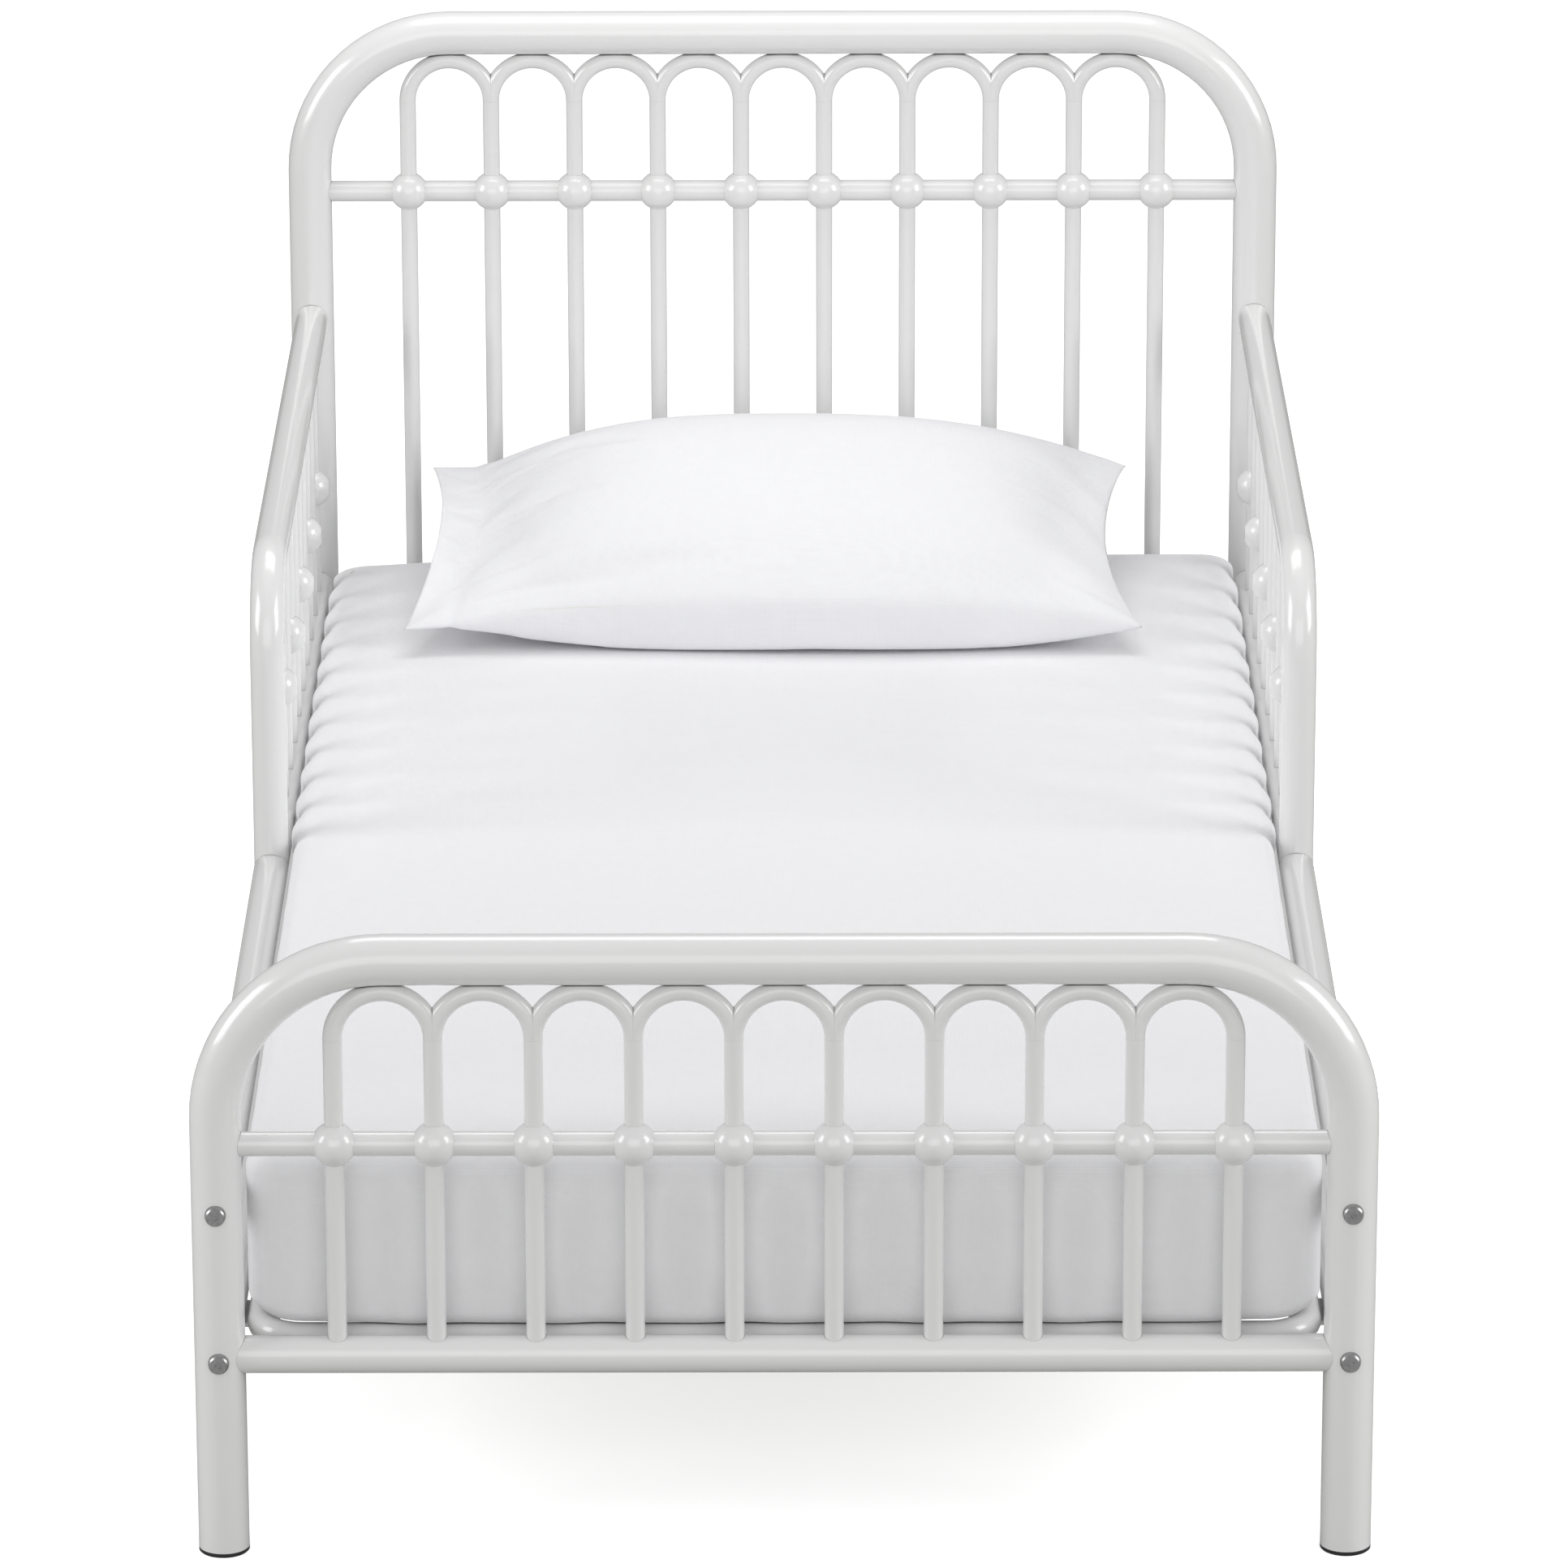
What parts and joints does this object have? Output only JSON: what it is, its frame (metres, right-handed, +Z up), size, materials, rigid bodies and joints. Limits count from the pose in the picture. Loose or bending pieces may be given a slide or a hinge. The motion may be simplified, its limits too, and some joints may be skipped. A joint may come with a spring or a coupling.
{
  "type": "toddler bed",
  "caption": "Low metal toddler bed in white tube with arched, ball-jointed spindles at both ends, short side guards at the head, a mattress in a fitted sheet and a pillow.",
  "frame": {"origin": "on the floor, under the middle of the bed: midway between the four posts", "axes": "+Z up; +Y along the bed towards the headboard; +X to the right seen from the foot end"},
  "size_m": [0.761, 1.391, 0.6935],
  "materials": {
    "frame_powder_coat": "glossy white powder coat over welded steel tube",
    "support_powder_coat": "satin white powder coat on the hidden mattress support",
    "zinc_hardware": "zinc plated bolts, washers, plugs and screws",
    "black_glide": "moulded black caps under the posts",
    "mattress_ticking": "woven ticking over foam",
    "sheet_cotton": "matt white cotton percale",
    "pillow_ticking": "cotton ticking over polyester filling",
    "pillowcase_cotton": "matt white cotton percale"
  },
  "bodies": {
    "frame": {"foot_loop_tube": "frame_powder_coat", "foot_bottom_rail": "frame_powder_coat", "foot_ball_rail": "frame_powder_coat", "foot_spindles": "frame_powder_coat", "foot_arches": "frame_powder_coat", "foot_balls": "frame_powder_coat", "head_loop_tube": "frame_powder_coat", "head_bottom_rail": "frame_powder_coat", "head_ball_rail": "frame_powder_coat", "head_spindles": "frame_powder_coat", "head_arches": "frame_powder_coat", "head_balls": "frame_powder_coat", "left_side_rail": "frame_powder_coat", "left_lower_rail": "frame_powder_coat", "left_guard_tube": "frame_powder_coat", "left_guard_spindles": "frame_powder_coat", "left_guard_balls": "frame_powder_coat", "left_support_tabs": "frame_powder_coat", "left_rail_inserts": "zinc_hardware", "right_side_rail": "frame_powder_coat", "right_lower_rail": "frame_powder_coat", "right_guard_tube": "frame_powder_coat", "right_guard_spindles": "frame_powder_coat", "right_guard_balls": "frame_powder_coat", "right_support_tabs": "frame_powder_coat", "right_rail_inserts": "zinc_hardware", "frame_bolts": "zinc_hardware", "saddle_washers": "zinc_hardware", "support_screws": "zinc_hardware", "foot_glides": "black_glide", "support_tube": "support_powder_coat", "slat_1": "support_powder_coat", "slat_2": "support_powder_coat", "slat_3": "support_powder_coat", "slat_4": "support_powder_coat", "slat_5": "support_powder_coat", "slat_6": "support_powder_coat", "slat_7": "support_powder_coat", "slat_8": "support_powder_coat", "slat_9": "support_powder_coat"},
    "mattress": {"mattress_core": "mattress_ticking", "fitted_sheet": "sheet_cotton"},
    "pillow": {"pillow_insert": "pillow_ticking", "pillowcase": "pillowcase_cotton"}
  },
  "joints": [
    {"name": "mattress_lift", "type": "slide", "parent": "frame", "child": "mattress", "axis": [0, 0, 1], "range_m": [0, 0.6]},
    {"name": "pillow_lift", "type": "slide", "parent": "mattress", "child": "pillow", "axis": [0, 0, 1], "range_m": [0, 0.35]}
  ]
}
